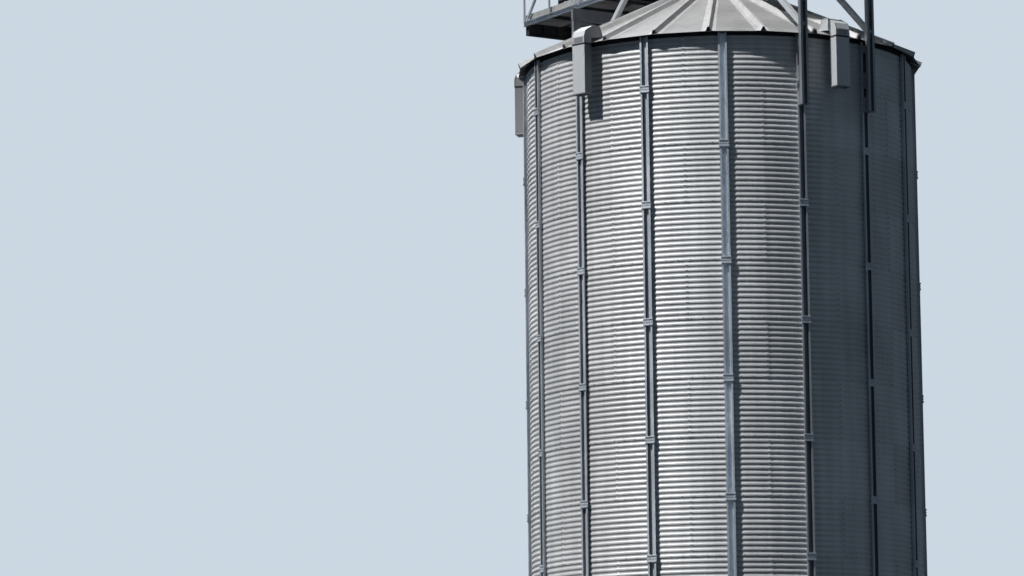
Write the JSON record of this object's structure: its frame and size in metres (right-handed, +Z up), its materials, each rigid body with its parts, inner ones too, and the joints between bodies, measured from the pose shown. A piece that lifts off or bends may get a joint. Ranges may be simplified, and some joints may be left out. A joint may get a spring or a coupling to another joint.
{
  "type": "corrugated steel grain silo with overhead conveyor bridge",
  "caption": "Tall round corrugated steel grain silo with stiffeners, ribbed cone roof and vent ducts, crossed by a truss bridge that carries a chain conveyor.",
  "frame": {"origin": "on the silo's vertical axis at ground level", "axes": "+Z up, Y along the conveyor bridge, X across it"},
  "size_m": [8.1578, 12, 21.18],
  "materials": {
    "wall_sheet": "galvanised, weathered",
    "roof_sheet": "galvanised, weathered and dusty",
    "section_steel": "hot dip galvanised, dull",
    "duct_steel": "galvanised sheet",
    "dark_steel": "dull, dark and dusty",
    "gate_paint": "faded paint with rust",
    "concrete": "trowelled concrete"
  },
  "bodies": {
    "root": {"conveyor_casing": "duct_steel", "conveyor_supports_back": "dark_steel", "conveyor_supports_front": "dark_steel", "conveyor_trough": "dark_steel", "floor_slab": "concrete", "inlet_spout": "duct_steel", "peak_collar": "roof_sheet", "portal_back": "section_steel", "portal_front": "section_steel", "roof_sector_1": "roof_sheet", "roof_sector_2": "roof_sheet", "roof_sector_3": "roof_sheet", "roof_sector_4": "roof_sheet", "roof_sector_5": "roof_sheet", "roof_sector_6": "roof_sheet", "roof_sector_7": "roof_sheet", "roof_sector_8": "roof_sheet", "roof_vent_1": "duct_steel", "roof_vent_2": "duct_steel", "roof_vent_3": "duct_steel", "roof_vent_4": "duct_steel", "roof_vent_5": "duct_steel", "slide_gate": "gate_paint", "stiffener_01": "section_steel", "stiffener_02": "section_steel", "stiffener_03": "section_steel", "stiffener_04": "section_steel", "stiffener_05": "section_steel", "stiffener_06": "section_steel", "stiffener_07": "section_steel", "stiffener_08": "section_steel", "stiffener_09": "section_steel", "stiffener_10": "section_steel", "stiffener_11": "section_steel", "stiffener_12": "section_steel", "stiffener_13": "section_steel", "stiffener_14": "section_steel", "stiffener_15": "section_steel", "stiffener_16": "section_steel", "truss_far": "section_steel", "truss_near": "section_steel", "walkway_deck": "dark_steel", "wall_sheets_1": "wall_sheet", "wall_sheets_2": "wall_sheet", "wall_sheets_3": "wall_sheet", "wall_sheets_4": "wall_sheet", "wall_sheets_5": "wall_sheet", "wall_sheets_6": "wall_sheet", "wall_sheets_7": "wall_sheet", "wall_sheets_8": "wall_sheet"}
  },
  "joints": []
}
